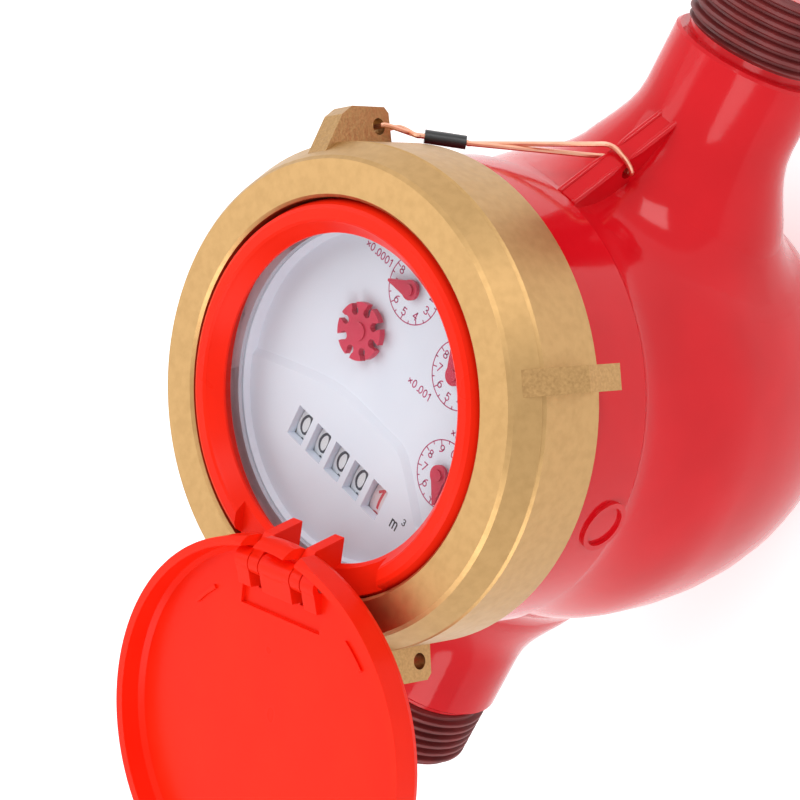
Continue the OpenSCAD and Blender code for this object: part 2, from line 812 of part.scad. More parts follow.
module number_roller(i) {
    y = roller_at_y[i];
    last = counter_lines - 1;
    lock_r = roller_module*(roller_teeth/2 + 0.25);
    color(i == last ? pale_pink : white_plastic)
        translate([-counter_offset, 0, roller_z])
            difference() {
                union() {
                    plate_y(y + drum_width/2, drum_width)
                        circle(r = roller_r);
                    if (i < last)
                        plate_y(y - drum_width/2, flange_width)
                            rotate(pinion_angle + 180/roller_teeth)
                                gear_outline(roller_teeth, roller_module);
                    // Locking disc with the one tooth that moves the next roller on
                    if (i > 0)
                        plate_y(y + drum_width/2 + flange_width, flange_width)
                            difference() {
                                circle(r = lock_r);
                                for (turn = [-13, 13])
                                    rotate(pinion_angle + 100 + turn)
                                        translate([lock_r, 0])
                                            circle(r = lock_r*0.18);
                            }
                    if (i == last) {
                        plate_y(y - drum_width/2, y - drum_width/2 - worm_y)
                            circle(r = shaft_pin_r + 1);
                        plate_y(worm_y + worm_wheel_width/2, worm_wheel_width)
                            rotate(180/worm_teeth)
                                gear_outline(worm_teeth, worm_module);
                    }
                }
                translate([0, y, 0])
                    rod_y(shaft_pin_r + run_clearance, 4*roller_pitch);
            }
}

module transfer_pinion(i) {
    middle = (roller_at_y[i] + roller_at_y[i + 1])/2;
    half = (roller_pitch - drum_width)/2 - 0.15;
    to_roller = pinion_angle - 180;
    color(white_plastic)
        translate([pinion_at[0], 0, pinion_at[1]])
            difference() {
                union() {
                    plate_y(middle + half, half)
                        rotate(to_roller)
                            gear_outline(transfer_teeth, roller_module);
                    // Every second tooth is long and straddles the locking disc
                    plate_y(middle, half)
                        rotate(to_roller + 360/transfer_teeth)
                            gear_outline(transfer_teeth, roller_module, kept = 2);
                }
                translate([0, middle, 0])
                    rod_y(pinion_pin_r + run_clearance, 4*half);
            }
}

// Dial, glass and covers

field_front = counter_offset - 11.6;
field_outline = concat(
    [[-2*dial_r, -1.2*dial_r], [-dial_r*0.42, -1.2*dial_r]],
    curve([[-dial_r*0.34, -dial_r*0.74], [-field_front - 3.6, worm_y - 0.8],
           [-field_front - 0.4, worm_y + 3.6], [-field_front, -6], [-field_front, 5],
           [-field_front - 2.6, dial_r*0.5],
           [-dial_r*0.29, dial_r*0.93]], 4),
    [[-dial_r*0.42, 1.2*dial_r], [-2*dial_r, 1.2*dial_r]]);

module dial_plate() {
    color(white_plastic)
        difference() {
            union() {
                rotate_extrude()
                    polygon([[0, dial_under_z], [dial_r, dial_under_z], [dial_r, gasket_z - 0.2],
                             [dial_r - 1.9, gasket_z - 0.2], [dial_r - 2.5, dial_z], [0, dial_z]]);
                // Raised field around the counter, with a soft edge towards the middle of the dial
                intersection() {
                    translate([0, 0, dial_z - 0.3])
                        cylinder(r = dial_r - 2.2, h = 2*field_rise);
                    translate([-dial_r, 0, dial_z - 0.2])
                        linear_extrude(field_rise + 0.2, scale = 1 - field_slope/dial_r)
                            translate([dial_r, 0])
                                polygon(field_outline);
                }
                for (i = [0, 2])
                    translate([idler_at[i].x, idler_at[i].y, level_z(2) - 0.2])
                        cylinder(r = post_r, h = dial_under_z - level_z(2) + 0.3);
                translate([worm_at.x, worm_at.y, dial_under_z - 1.5])
                    cylinder(r = arbor_r + 0.9, h = 1.6);
            }
            for (y = roller_at_y)
                translate([-counter_offset - slot_half, y - drum_width/2 - 0.25, dial_under_z - cut])
                    cube([2*slot_half, drum_width + 0.5, dial_thickness + field_rise + 2*cut]);
            for (at = concat([star_at], pointer_at))
                translate([at.x, at.y, dial_under_z - cut])
                    cylinder(r = arbor_r + set_clearance, h = dial_thickness + 2*cut);
            translate([worm_at.x, worm_at.y, dial_under_z - 1.5 - cut])
                cylinder(r = arbor_r + run_clearance, h = 1.3 + cut);
        }
}

module glass_gasket() {
    color(pale_rubber)
        translate([0, 0, gasket_z])
            tube(bezel_flange_r, glass_r - 1.8, glass_z - gasket_z);
}

module glass() {
    color([0.85, 0.92, 0.95, 0.3])
        translate([0, 0, glass_z])
            cylinder(r = glass_r, h = glass_thickness);
}

// Turns what is drawn with the hinge on +X to the hinge's side
module at_hinge_side() {
    rotate([0, 0, hinge_angle])
        children();
}

module hinge_ear(offset) {
    plate_y(offset + ear_thickness/2, ear_thickness) {
        polygon([[hinge_r - 6.8, lip_z + set_clearance], [hinge_r - 5, hinge_z - 0.9],
                 [hinge_r - knuckle_r*0.5, hinge_z + knuckle_r*0.85], [hinge_r + knuckle_r, hinge_z],
                 [hinge_r + knuckle_r, notch_z - 0.6], [window_r + 0.1, notch_z - 0.6],
                 [window_r + 0.1, lip_z + set_clearance]]);
        translate([hinge_r, hinge_z])
            circle(r = knuckle_r);
    }
}

module bezel() {
    color(red_plastic)
        difference() {
            union() {
                difference() {
                    rotate_extrude()
                        polygon([[lip_r, lip_z], [lip_r, lip_z + 0.5], [lip_r + lip_flare - 0.3, rim_z - 0.7],
                                 [lip_r + lip_flare, rim_z - 0.3], [lip_r + lip_flare + 0.4, rim_z],
                                 [bezel_r - 1.6, rim_z], [bezel_r - 0.9, rim_z - 0.4],
                                 [bezel_r - 0.2, rim_z - 2], [bezel_r, rim_z - 2.8],
                                 [bezel_r, bezel_flange_z],
                                 [bezel_flange_r, bezel_flange_z], [bezel_flange_r, glass_z],
                                 [glass_r + 0.2, glass_z], [glass_r + 0.2, lip_z]]);
                    // Room for the heel of the lid
                    at_hinge_side()
                        translate([window_r - 8, -notch_half, notch_z])
                            cube([20, 2*notch_half, rim_z - notch_z + cut]);
                }
                at_hinge_side()
                    for (side = [-1, 1])
                        hinge_ear(side*ear_offset);
            }
            at_hinge_side()
                translate([hinge_r, 0, hinge_z])
                    rod_y(hinge_pin_r, 4*hinge_half);
        }
}

module ring_lug(angle) {
    lug_r = ring_r + lug_reach;
    rotate([0, 0, angle])
        plate_y(lug_thickness/2, lug_thickness)
            polygon([[ring_r - taper_in - 1, ring_front_z - 0.8], [lug_r - 1.4, ring_front_z - 6.6],
                     [lug_r, ring_front_z - 9], [lug_r, ring_rear_z + 2.4], [lug_r - 1, ring_rear_z + 1.4],
                     [ring_r - 1.5, ring_rear_z + 1.1]]);
}

module cover_ring() {
    front_r = ring_r - taper_in;
    groove_z = ring_front_z - taper_height;
    color(brass)
        difference() {
            union() {
                rotate_extrude()
                    polygon([[ring_open_r, bezel_flange_z], [ring_open_r, ring_front_z - 0.5],
                             [ring_open_r + 0.5, ring_front_z], [front_r - 0.6, ring_front_z],
                             [front_r, ring_front_z - 0.6], [ring_r - 0.1, groove_z],
                             [ring_r - 0.6, groove_z - 0.3], [ring_r, groove_z - 0.9],
                             [ring_r, ring_rear_z + 0.6], [ring_r - 0.6, ring_rear_z],
                             [ring_bore_r, ring_rear_z], [ring_bore_r, bezel_flange_z]]);
                for (angle = lug_angles)
                    ring_lug(angle);
            }
            for (angle = sealed_lugs)
                rotate([0, 0, angle])
                    translate([lug_hole_out, 0, lug_hole_z])
                        rod_y(lug_hole_r, lug_thickness + 2*cut);
        }
}

module hinge_pin() {
    color(steel)
        at_hinge_side()
            translate([hinge_r, 0, hinge_z])
                rod_y(hinge_pin_r, 2*hinge_half);
}

// The lid in its closed place, with the hinge on +X
module closed_lid() {
    slot = ear_thickness + 2*set_clearance;
    difference() {
        union() {
            difference() {
                rotate_extrude()
                    polygon([[0, lid_top_z + 0.5], [lid_r*0.5, lid_top_z + 0.35], [lid_r - 2.6, lid_top_z],
                             [lid_r - 1, lid_top_z - 0.3], [lid_r - 0.3, lid_top_z - 0.9],
                             [lid_r, lid_top_z - 1.8], [lid_r, lid_low_z],
                             [lid_r - lid_wall + 0.3, lid_low_z], [lid_r - lid_wall, lid_inner_z - 0.8],
                             [lid_r - lid_wall - 0.8, lid_inner_z],
                             [0, lid_inner_z + 0.3]]);
                // Rounds the heel off behind the hinge
                difference() {
                    translate([hinge_r, -lid_r, lid_low_z - heel_r])
                        cube([lid_r, 2*lid_r, 4*heel_r]);
                    translate([hinge_r, 0, hinge_z])
                        rod_y(heel_r, 3*lid_r);
                }
            }
            translate([hinge_r, 0, hinge_z])
                rod_y(knuckle_r, 2*hinge_half);
            plate_y(hinge_half, 2*hinge_half)
                polygon([[hinge_r, hinge_z - knuckle_r], [hinge_r - block_reach, lid_inner_z - 0.9],
                         [hinge_r - block_reach, lid_inner_z + 0.4], [hinge_r, lid_inner_z + 0.4]]);
            // Two low ribs beside the hinge
            for (side = [-1, 1])
                rotate([0, 0, side*42 - 6])
                    rotate_extrude(angle = 12)
                        translate([lid_r*0.77, lid_inner_z - 0.4])
                            square([0.7, 1]);
        }
        for (side = [-1, 1])
            translate([hinge_r - block_reach - set_clearance, side*ear_offset - slot/2, lid_low_z - cut])
                cube([lid_r, slot, lid_top_z - lid_low_z + 3*cut]);
        translate([hinge_r - block_reach - 3.6, -hinge_half, lid_inner_z - cut])
            cube([3.6, 2*hinge_half, cut + lid_wall/2]);
        translate([hinge_r, 0, hinge_z])
            rod_y(hinge_pin_r + run_clearance, 2*hinge_half + 2*cut);
    }
}

module lid() {
    color(red_plastic)
        at_hinge_side()
            translate([hinge_r, 0, hinge_z])
                rotate([0, open_angle, 0])
                    translate([-hinge_r, 0, -hinge_z])
                        closed_lid();
}

// Seal

function heading(path, i) = unit(knot(path, i + 1) - knot(path, i - 1));
// Normals carried along the path without twist
function carried(path, normal, i = 0) = i == len(path) ? [] :
    let (t = heading(path, i), n = unit(normal - (normal*t)*t))
    concat([n], carried(path, n, i + 1));

module swept_wire(path, r, sides) {
    normals = carried(path, [0.1, 0.2, 1]);
    last = len(path) - 1;
    points = [for (i = [0:last], j = [0:sides - 1])
        let (a = 360*j/sides, n = normals[i], side = cross(heading(path, i), n))
        path[i] + r*(cos(a)*n + sin(a)*side)];
    function at(i, j) = i*sides + j % sides;
    walls = [for (i = [0:last - 1], j = [0:sides - 1])
        each [[at(i, j), at(i + 1, j), at(i + 1, j + 1)], [at(i, j), at(i + 1, j + 1), at(i, j + 1)]]];
    ends = [[for (j = [0:sides - 1]) j], [for (j = [sides - 1:-1:0]) at(last, j)]];
    polyhedron(points, concat(walls, ends));
}

// One wire: from the crimp through the web and back, on through the lug and back to the crimp
web_entry = web_point + [0, web_thickness/2 + 0.4, 0];
web_edge = web_point + [0, web_thickness/2, 0] + 3.8*edge_out;
function strand_end(side) = seal_point + side*strand + (seal_end + 1.6)*wire_way;
wire_route = [
    seal_point + strand + 0.6*wire_way,
    seal_point + strand + (seal_end + 0.4)*wire_way,
    strand_end(1),
    0.2*strand_end(1) + 0.8*web_entry + 0.2*edge_out,
    web_entry,
    web_point - [0, web_thickness/2 + 0.3, 0],
    web_point - [0, web_thickness/2 + 1, 0] + 1.6*edge_out,
    web_point - [0, web_thickness/2 - 0.4, 0] + 3.7*edge_out,
    web_edge,
    0.2*strand_end(-1) + 0.8*web_edge + 0.2*edge_out,
    strand_end(-1),
    seal_point - strand + (seal_end + 0.4)*wire_way,
    seal_point - strand - (seal_end + 0.4)*wire_way,
    seal_point - strand - (seal_end + 1.6)*wire_way,
    lug_point - (lug_thickness/2 + 1.4)*lug_tangent - [0, 0, 0.6],
    lug_point - lug_thickness/2*lug_tangent,
    lug_point + lug_thickness/2*lug_tangent,
    lug_point + (lug_thickness/2 + 1.3)*lug_tangent - [0, 0, 1.4],
    lug_point + (lug_thickness/2 - 0.2)*lug_tangent - [0, 0, 4.2],
    lug_point - lug_thickness/2*lug_tangent - [0, 0, 5],
    seal_point + strand - (seal_end + 1.6)*wire_way,
    seal_point + strand - (seal_end + 0.4)*wire_way,
    seal_point + strand - 0.6*wire_way];

module seal_wire() {
    color(copper)
        swept_wire(curve(wire_route, 4), wire_r, 8);
}

// The crimped seal lies along the wire
module seal() {
    half_height = 1.15;
    bore_r = wire_r + 0.1;
    color(black_rubber)
        translate(seal_point)
            multmatrix([[seal_cross.x, seal_face.x, wire_way.x, 0],
                        [seal_cross.y, seal_face.y, wire_way.y, 0],
                        [seal_cross.z, seal_face.z, wire_way.z, 0],
                        [0, 0, 0, 1]])
                difference() {
                    union() {
                        translate([-norm(strand), -half_height, -seal_end])
                            cube([2*norm(strand), 2*half_height, seal_length]);
                        for (side = [-1, 1])
                            translate([side*norm(strand), 0, -seal_end])
                                cylinder(r = half_height, h = seal_length);
                    }
                    for (side = [-1, 1]) {
                        translate([side*norm(strand), 0, -seal_end - cut])
                            cylinder(r = bore_r, h = seal_length + 2*cut);
                        // Dents of the sealing pliers
                        translate([0, side*(half_height + 1.4), 0])
                            rotate([0, 90, 0])
                                cylinder(r = 1.8, h = 1.6, center = true);
                    }
                }
}

body();
inlet_strainer();
measuring_chamber();
pivot_pin();
chamber_cover();
impeller();
drive_magnet();
plate_gasket();
pressure_plate();
register_cup();
gear_plate();
follower_magnet();
magnet_arbor();
star_arbor();
star_wheel();
idler(0);  // idler_1
idler(1);  // idler_2
idler(2);  // idler_3
pointer_arbor(0);  // pointer_arbor_1
pointer_arbor(1);  // pointer_arbor_2
pointer_arbor(2);  // pointer_arbor_3
pointer(0);  // pointer_1
pointer(1);  // pointer_2
pointer(2);  // pointer_3
counter_arbor();
counter_frame();
roller_shaft();
number_roller(0);  // number_roller_1
number_roller(1);  // number_roller_2
number_roller(2);  // number_roller_3
number_roller(3);  // number_roller_4
number_roller(4);  // number_roller_5
pinion_shaft();
transfer_pinion(0);  // transfer_pinion_1
transfer_pinion(1);  // transfer_pinion_2
transfer_pinion(2);  // transfer_pinion_3
transfer_pinion(3);  // transfer_pinion_4
dial_plate();
glass_gasket();
glass();
bezel();
cover_ring();
hinge_pin();
lid();
seal_wire();
seal();
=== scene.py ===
import json
import bpy
import numpy as np
from mathutils import Matrix, Vector


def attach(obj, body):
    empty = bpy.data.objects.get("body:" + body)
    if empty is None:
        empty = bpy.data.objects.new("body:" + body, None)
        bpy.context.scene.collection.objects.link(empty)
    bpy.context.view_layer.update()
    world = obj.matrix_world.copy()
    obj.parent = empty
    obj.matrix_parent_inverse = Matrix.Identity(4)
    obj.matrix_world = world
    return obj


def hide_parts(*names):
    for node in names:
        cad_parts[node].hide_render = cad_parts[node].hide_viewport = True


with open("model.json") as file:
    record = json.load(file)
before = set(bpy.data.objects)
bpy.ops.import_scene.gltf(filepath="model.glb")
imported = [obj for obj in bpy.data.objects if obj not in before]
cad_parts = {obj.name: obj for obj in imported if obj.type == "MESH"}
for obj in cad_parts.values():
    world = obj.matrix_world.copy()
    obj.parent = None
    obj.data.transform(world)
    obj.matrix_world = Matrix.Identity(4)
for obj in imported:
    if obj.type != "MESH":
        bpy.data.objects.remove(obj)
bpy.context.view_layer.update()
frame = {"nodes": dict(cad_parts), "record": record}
nodes = frame["nodes"]
print("frame loaded:", len(nodes), "nodes")

mm = 0.001  # sizes are in millimetres, apart from the studio's
fullTurn = 2*np.pi
scene = bpy.context.scene

# camera, fitted to the rings, the lugs and the pipe
cameraSetup = {"lens": 112.5, "sensor": 36, "clip": (0.01, 10), "place": (181.4, -225.6, 392.8),
               "right": (0.3955, -0.6090, -0.6875), "up": (0.8095, 0.5848, -0.0524),
               "back": (0.4340, -0.5358, 0.7243)}


def makeCamera(setup):
    lens = bpy.data.cameras.new("meterView")
    lens.lens = setup["lens"]
    lens.sensor_width = setup["sensor"]
    lens.clip_start, lens.clip_end = setup["clip"]
    view = bpy.data.objects.new("meterView", lens)
    scene.collection.objects.link(view)
    turn = Matrix((setup["right"], setup["up"], setup["back"])).transposed().to_4x4()
    turn.translation = Vector(setup["place"])*mm
    view.matrix_world = turn
    scene.camera = view


makeCamera(cameraSetup)

# node helpers
noiseSpan = (0.2, 0.8)  # where nearly all values of a noise lie


def addNode(tree, kind, **settings):
    node = tree.nodes.new("ShaderNode" + kind)
    for name, value in settings.items():
        setattr(node, name, value)
    return node


def combine(tree, operation, first, second):
    # a math node on one socket and a socket or number
    node = addNode(tree, "Math", operation=operation)
    tree.links.new(first, node.inputs[0])
    if isinstance(second, float):
        node.inputs[1].default_value = second
    else:
        tree.links.new(second, node.inputs[1])
    return node.outputs[0]


def spreadOver(tree, factor, span, result):
    # the factor's span of values stretched over the result's
    spread = addNode(tree, "MapRange")
    spread.inputs["From Min"].default_value, spread.inputs["From Max"].default_value = span
    spread.inputs["To Min"].default_value, spread.inputs["To Max"].default_value = result
    tree.links.new(factor, spread.inputs["Value"])
    return spread.outputs["Result"]


def seenRays(tree):
    # one where the camera, a reflection or a view through glass meets the surface
    path = addNode(tree, "LightPath")
    direct = combine(tree, "MAXIMUM", path.outputs["Is Camera Ray"], path.outputs["Is Glossy Ray"])
    return combine(tree, "MAXIMUM", direct, path.outputs["Is Transmission Ray"])


# floor and light, in metres and watts; a lamp is its name, power, size and place
studio = {"floorColour": (0.80, 0.80, 0.81), "floorRough": 0.9, "floorHalf": 4, "floorDrop": -0.0002,
          "floorLift": (0.46, 0.60), "liftRange": (0.4, 1.6), "worldLight": (0.54, 1.0),
          "target": (0.0, 0.0, 0.08),
          "lamps": [("softKey", 7.0, 1.2, (0.35, 0.80, 1.00)),
                    ("ringFill", 2.6, 1.1, (-0.62, 0.62, 0.92)),
                    ("frontSoft", 4.0, 0.6, (-0.40, -0.60, 0.70)),
                    ("sideStrip", 2.2, 0.35, (0.80, -0.20, 0.45))]}


def makeLight(setup):
    # a pale world that is white where it is seen, and soft lamps aimed at the dial
    scene.view_settings.view_transform = "Standard"
    world = bpy.data.worlds.new("studioWorld")
    scene.world = world
    world.use_nodes = True
    tree = world.node_tree
    background = tree.nodes["Background"]
    background.inputs["Color"].default_value = (1, 1, 1, 1)
    level = spreadOver(tree, seenRays(tree), (0, 1), setup["worldLight"])
    tree.links.new(level, background.inputs["Strength"])
    for name, power, size, place in setup["lamps"]:
        light = bpy.data.lights.new(name, "AREA")
        light.energy, light.size = power, size
        lamp = bpy.data.objects.new(name, light)
        scene.collection.objects.link(lamp)
        lamp.location = place
        way = Vector(setup["target"]) - Vector(place)
        lamp.rotation_euler = way.to_track_quat("-Z", "Y").to_euler()


def floorPaint(setup):
    paint = bpy.data.materials.new("paleFloor")
    paint.use_nodes = True
    tree = paint.node_tree
    shader = tree.nodes["Principled BSDF"]
    shader.inputs["Base Color"].default_value = (*setup["floorColour"], 1)
    shader.inputs["Roughness"].default_value = setup["floorRough"]
    shader.inputs["Emission Color"].default_value = (1, 1, 1, 1)
    # the lift grows away from the object, where the lamps fade, so that the floor ends in white
    place = addNode(tree, "TexCoord")
    away = addNode(tree, "VectorMath", operation="LENGTH")
    tree.links.new(place.outputs["Object"], away.inputs[0])
    grow = spreadOver(tree, away.outputs["Value"], setup["liftRange"], setup["floorLift"])
    tree.links.new(combine(tree, "MULTIPLY", seenRays(tree), grow), shader.inputs["Emission Strength"])
    # seen from below, the floor is clear
    side = addNode(tree, "NewGeometry")
    clear = addNode(tree, "BsdfTransparent")
    mix = addNode(tree, "MixShader")
    tree.links.new(side.outputs["Backfacing"], mix.inputs["Fac"])
    tree.links.new(shader.outputs["BSDF"], mix.inputs[1])
    tree.links.new(clear.outputs["BSDF"], mix.inputs[2])
    tree.links.new(mix.outputs["Shader"], tree.nodes["Material Output"].inputs["Surface"])
    return paint


def makeFloor(setup):
    half, drop = setup["floorHalf"], setup["floorDrop"]
    corners = [(-half, -half, drop), (half, -half, drop), (half, half, drop), (-half, half, drop)]
    mesh = bpy.data.meshes.new("studioFloor")
    mesh.from_pydata(corners, [], [(0, 1, 2, 3)])
    mesh.materials.append(floorPaint(setup))
    floor = bpy.data.objects.new("studioFloor", mesh)
    scene.collection.objects.link(floor)


makeLight(studio)
makeFloor(studio)
print("studio made")


# finishes: a noise is given by its scale and its detail
def startFinish(name, sockets):
    # a new material with its constants on the shader's sockets
    finish = bpy.data.materials.new(name)
    finish.use_nodes = True
    tree = finish.node_tree
    shader = tree.nodes["Principled BSDF"]
    for socket, value in sockets.items():
        shader.inputs[socket].default_value = value
    coords = addNode(tree, "TexCoord")
    return finish, tree, shader, coords.outputs["Object"]


def noiseOn(tree, coords, scale, detail):
    noise = addNode(tree, "TexNoise")
    noise.inputs["Scale"].default_value = scale
    noise.inputs["Detail"].default_value = detail
    tree.links.new(coords, noise.inputs["Vector"])
    return noise.outputs["Fac"]


def blendColours(tree, factor, low, high, span=noiseSpan):
    ramp = addNode(tree, "ValToRGB")
    first, last = ramp.color_ramp.elements
    first.position, last.position = span
    first.color, last.color = (*low, 1), (*high, 1)
    tree.links.new(factor, ramp.inputs["Fac"])
    return ramp.outputs["Color"]


def bumpFrom(tree, shader, height, distance, strength, under=None):
    # a bump on top of the one under it
    bump = addNode(tree, "Bump")
    bump.inputs["Distance"].default_value = distance*mm
    bump.inputs["Strength"].default_value = strength
    tree.links.new(height, bump.inputs["Height"])
    if under is not None:
        tree.links.new(under, bump.inputs["Normal"])
    tree.links.new(bump.outputs["Normal"], shader.inputs["Normal"])
    return bump.outputs["Normal"]


mottle = {"detail": 2.0, "bump": 0.5}  # of every noise, and of a finish that names no bump
finishes = {
    "redEnamel": {"low": (0.58, 0.004, 0.009), "high": (0.70, 0.007, 0.014), "rough": (0.09, 0.15),
                  "patch": 60, "grain": 420, "depth": 0.10, "bump": 0.3,
                  "sockets": {"Coat Weight": 0.12, "Coat Roughness": 0.05, "Specular IOR Level": 0.16}},
    # the cut threads get a red far darker than the enamel: painted shade of the pipe ends
    "shadedThreadRed": {"low": (0.10, 0.012, 0.012), "high": (0.22, 0.02, 0.02), "rough": (0.42, 0.6),
                  "patch": 160, "grain": 900, "depth": 0.05},
    "redMoulding": {"low": (0.87, 0.017, 0.004), "high": (0.95, 0.023, 0.006), "rough": (0.26, 0.36),
                    "patch": 90, "grain": 1500, "depth": 0.02, "bump": 0.4,
                    "sockets": {"Specular IOR Level": 0.1}},
    "whiteMoulding": {"low": (0.74, 0.79, 0.89), "high": (0.81, 0.86, 0.95), "rough": (0.42, 0.55),
                      "patch": 70, "grain": 1800, "depth": 0.015},
    "rollerWhite": {"low": (0.76, 0.77, 0.80), "high": (0.84, 0.85, 0.87), "rough": (0.4, 0.5),
                    "patch": 90, "grain": 1800, "depth": 0.01},
    "rollerRed": {"low": (0.74, 0.60, 0.62), "high": (0.82, 0.68, 0.70), "rough": (0.4, 0.5),
                  "patch": 90, "grain": 1800, "depth": 0.01},
    "crimsonTint": {"low": (0.60, 0.022, 0.065), "high": (0.70, 0.035, 0.09), "rough": (0.25, 0.4),
                    "patch": 150, "grain": 1200, "depth": 0.02,
                    "sockets": {"Transmission Weight": 0.08, "IOR": 1.49, "Specular IOR Level": 0.3}},
    "groundSteel": {"low": (0.52, 0.52, 0.54), "high": (0.64, 0.64, 0.66), "rough": (0.22, 0.36),
                    "patch": 200, "grain": 1500, "depth": 0.01, "sockets": {"Metallic": 1.0}},
    "ferrite": {"low": (0.030, 0.030, 0.033), "high": (0.055, 0.055, 0.06), "rough": (0.5, 0.65),
                "patch": 300, "grain": 2200, "depth": 0.03},
    "paleRubber": {"low": (0.50, 0.50, 0.56), "high": (0.58, 0.58, 0.64), "rough": (0.5, 0.65),
                   "patch": 200, "grain": 1600, "depth": 0.02},
    "gasketRubber": {"low": (0.012, 0.012, 0.013), "high": (0.022, 0.022, 0.024), "rough": (0.55, 0.7),
                     "patch": 200, "grain": 1600, "depth": 0.03},
    "bareCopper": {"low": (0.72, 0.34, 0.22), "high": (0.86, 0.47, 0.33), "rough": (0.28, 0.42),
                   "patch": 250, "grain": 1500, "depth": 0.02, "sockets": {"Metallic": 1.0}},
    "sealBlack": {"low": (0.010, 0.010, 0.011), "high": (0.022, 0.022, 0.024), "rough": (0.35, 0.5),
                  "patch": 220, "grain": 1200, "depth": 0.05},
    "plainBrass": {"low": (0.62, 0.42, 0.16), "high": (0.72, 0.52, 0.22), "rough": (0.3, 0.42),
                   "patch": 120, "grain": 900, "depth": 0.02, "sockets": {"Metallic": 1.0}},
    "printDark": {"low": (0.035, 0.032, 0.045), "high": (0.06, 0.055, 0.075), "rough": (0.45, 0.55),
                  "patch": 400, "grain": 2500, "depth": 0.004},
    "printRose": {"low": (0.44, 0.03, 0.13), "high": (0.54, 0.05, 0.18), "rough": (0.45, 0.55),
                  "patch": 400, "grain": 2500, "depth": 0.004},
    "printRed": {"low": (0.60, 0.03, 0.05), "high": (0.72, 0.05, 0.07), "rough": (0.45, 0.55),
                 "patch": 400, "grain": 2500, "depth": 0.004},
}


def mottledFinish(name, look):
    # two close colours in a noise, a roughness that follows it, and a fine grain in the bump
    finish, tree, shader, coords = startFinish(name, look.get("sockets", {}))
    patches = noiseOn(tree, coords, look["patch"], mottle["detail"])
    tree.links.new(blendColours(tree, patches, look["low"], look["high"]), shader.inputs["Base Color"])
    tree.links.new(spreadOver(tree, patches, noiseSpan, look["rough"]), shader.inputs["Roughness"])
    grain = noiseOn(tree, coords, look["grain"], mottle["detail"])
    bumpFrom(tree, shader, grain, look["depth"], look.get("bump", mottle["bump"]))
    return finish


made = {name: mottledFinish(name, look) for name, look in finishes.items()}

# brass of the cover ring: turned all over, and as cast on the lugs
turnedBrass = {"low": (0.432, 0.263, 0.108), "high": (0.475, 0.292, 0.123),
               "stain": (600, 4.0), "stainSpan": (0.32, 0.62), "satin": (700, 3.0), "rough": (0.37, 0.46),
               "rings": (2600, 2.0), "ringWander": 1.5, "ringDepth": 0.003, "ringBump": 0.5,
               "pits": (1300, 2.0), "pitDepth": 0.02, "pitBump": 0.35,
               "lugTurn": 39.0, "lugHalf": 2.12, "lugFrom": 40.4,
               "castLow": (0.36, 0.210, 0.086), "castHigh": (0.47, 0.282, 0.118),
               "castStain": (2200, 3.0), "castSpan": (0.3, 0.7),
               "lumps": (1200, 3.0), "lumpDepth": 0.11, "lumpBump": 0.8,
               "sockets": {"Metallic": 1.0}}


def onLugs(tree, coords, look):
    # one on the four lugs: near two crossed lines through the axis, and outside the ring's taper
    plan = addNode(tree, "Mapping")
    plan.inputs["Rotation"].default_value = (0, 0, -np.radians(look["lugTurn"]))
    tree.links.new(coords, plan.inputs["Vector"])
    folded = addNode(tree, "VectorMath", operation="ABSOLUTE")
    tree.links.new(plan.outputs["Vector"], folded.inputs[0])
    parts = addNode(tree, "SeparateXYZ")
    tree.links.new(folded.outputs["Vector"], parts.inputs["Vector"])
    narrow = combine(tree, "MINIMUM", parts.outputs["X"], parts.outputs["Y"])
    far = combine(tree, "MAXIMUM", parts.outputs["X"], parts.outputs["Y"])
    return combine(tree, "MULTIPLY", combine(tree, "LESS_THAN", narrow, look["lugHalf"]*mm),
                   combine(tree, "GREATER_THAN", far, look["lugFrom"]*mm))


def brassFinish(look):
    # lathe rings about the dial axis with a satin grain, and a rough cast skin on the lugs
    finish, tree, shader, coords = startFinish("turnedBrass", look["sockets"])
    cast = onLugs(tree, coords, look)
    stain = noiseOn(tree, coords, *look["stain"])
    castStain = noiseOn(tree, coords, *look["castStain"])
    mix = addNode(tree, "Mix", data_type="RGBA")
    tree.links.new(cast, mix.inputs["Factor"])
    tree.links.new(blendColours(tree, stain, look["low"], look["high"], look["stainSpan"]), mix.inputs["A"])
    tree.links.new(blendColours(tree, castStain, look["castLow"], look["castHigh"], look["castSpan"]),
                   mix.inputs["B"])
    tree.links.new(mix.outputs["Result"], shader.inputs["Base Color"])
    satin = noiseOn(tree, coords, *look["satin"])
    tree.links.new(spreadOver(tree, satin, noiseSpan, look["rough"]), shader.inputs["Roughness"])
    rings = addNode(tree, "TexWave", wave_type="RINGS", rings_direction="Z")
    rings.inputs["Scale"].default_value, rings.inputs["Detail"].default_value = look["rings"]
    rings.inputs["Distortion"].default_value = look["ringWander"]
    tree.links.new(coords, rings.inputs["Vector"])
    turned = bumpFrom(tree, shader, rings.outputs["Fac"], look["ringDepth"], look["ringBump"])
    pits = noiseOn(tree, coords, *look["pits"])
    pitted = bumpFrom(tree, shader, pits, look["pitDepth"], look["pitBump"], turned)
    lumps = combine(tree, "MULTIPLY", noiseOn(tree, coords, *look["lumps"]), cast)
    bumpFrom(tree, shader, lumps, look["lumpDepth"], look["lumpBump"], pitted)
    return finish


made["turnedBrass"] = brassFinish(turnedBrass)

clearGlass = {"tints": ((0.08, 0.09, 0.10), (0.12, 0.13, 0.14)), "haze": (45, 3.0), "rough": (0.02, 0.06),
              "sockets": {"Alpha": 0.06, "IOR": 1.5}}


def glassFinish(look):
    # a thin clear cover that shifts nothing behind it, with a trace of handling haze in its gloss
    finish, tree, shader, coords = startFinish("clearGlass", look["sockets"])
    haze = noiseOn(tree, coords, *look["haze"])
    tree.links.new(blendColours(tree, haze, *look["tints"]), shader.inputs["Base Color"])
    tree.links.new(spreadOver(tree, haze, noiseSpan, look["rough"]), shader.inputs["Roughness"])
    return finish


made["clearGlass"] = glassFinish(clearGlass)

